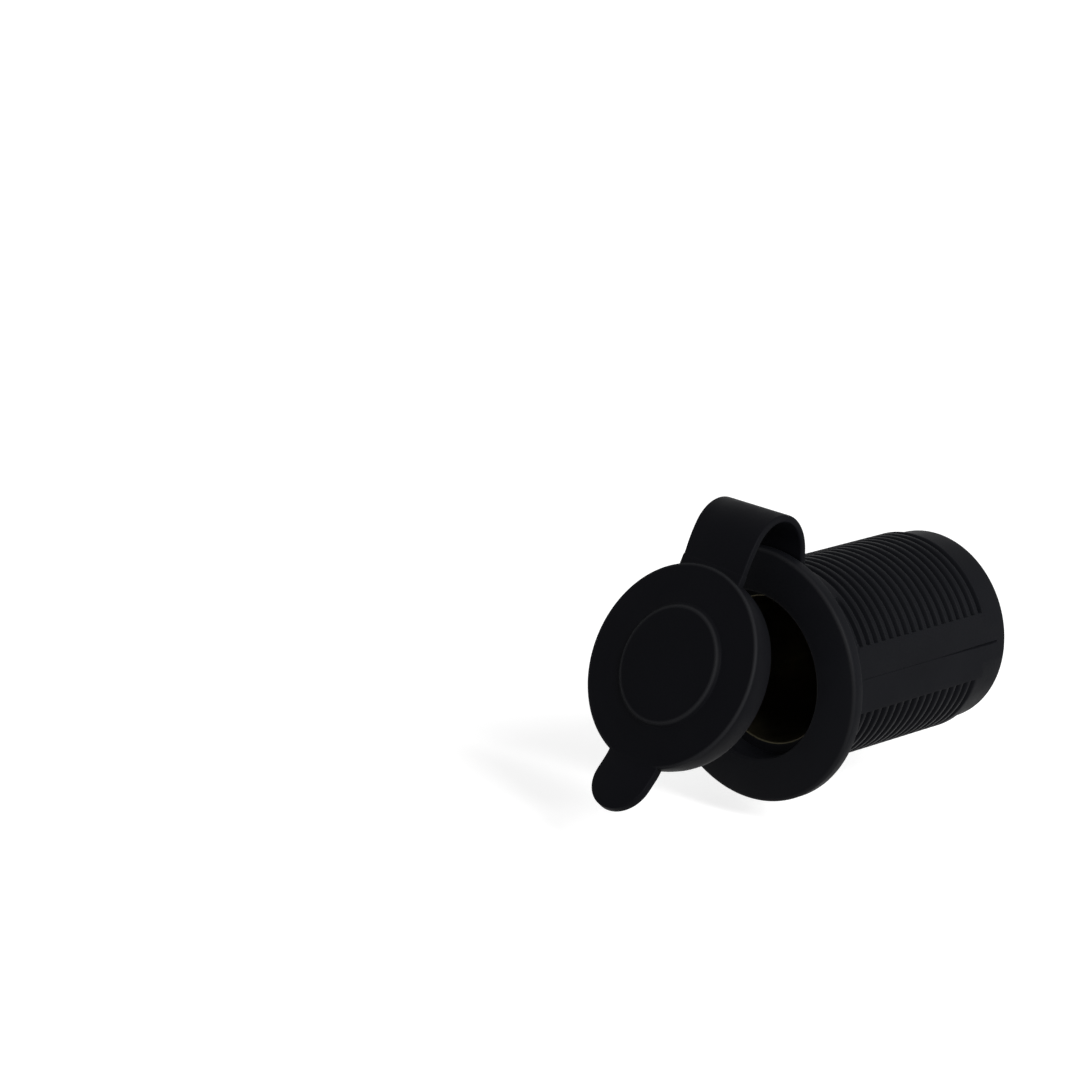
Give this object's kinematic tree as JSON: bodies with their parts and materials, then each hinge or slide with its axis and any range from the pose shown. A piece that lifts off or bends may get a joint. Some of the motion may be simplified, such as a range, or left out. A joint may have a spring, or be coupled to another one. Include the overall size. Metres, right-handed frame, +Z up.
{
  "type": "panel-mounted 12 volt power socket",
  "caption": "Round flanged 12 volt outlet with a threaded barrel, a brass contact shell, push-on rear terminals and a push-in lid that hangs on a soft strap.",
  "frame": {"origin": "on the socket's axis, at the front surface of the panel that it is fixed in, which is the rear face of the retaining ring", "axes": "+Y through the panel to the terminals, +Z up to the lid's strap, -Y towards the person who plugs in"},
  "size_m": [0.037, 0.0753, 0.0441],
  "materials": {
    "housing": "satin, finely textured moulding",
    "soft_pvc": "satin soft plastic",
    "brass": "drawn, slightly dulled",
    "contact": "plated",
    "tinned": "tin plated, satin",
    "laminate": "pressed insulating board"
  },
  "bodies": {
    "socket": {"housing": "housing", "contact_shell": "brass", "contact_bush": "laminate", "centre_contact": "contact", "positive_blade": "tinned", "negative_blade": "tinned", "ground_rivet": "tinned", "retaining_ring": "soft_pvc", "lid_strap": "soft_pvc"},
    "lid": {"lid": "soft_pvc"}
  },
  "joints": [
    {"name": "lid_swing", "type": "hinge", "parent": "socket", "child": "lid", "pos_m": [0, -0.0051, 0.0293], "axis": [1, 0, 0], "range_deg": [-50, 24.6], "stiffness_Nm_per_rad": 0.0006, "springref_deg": -49.85, "deforming": ["lid_strap"]}
  ]
}
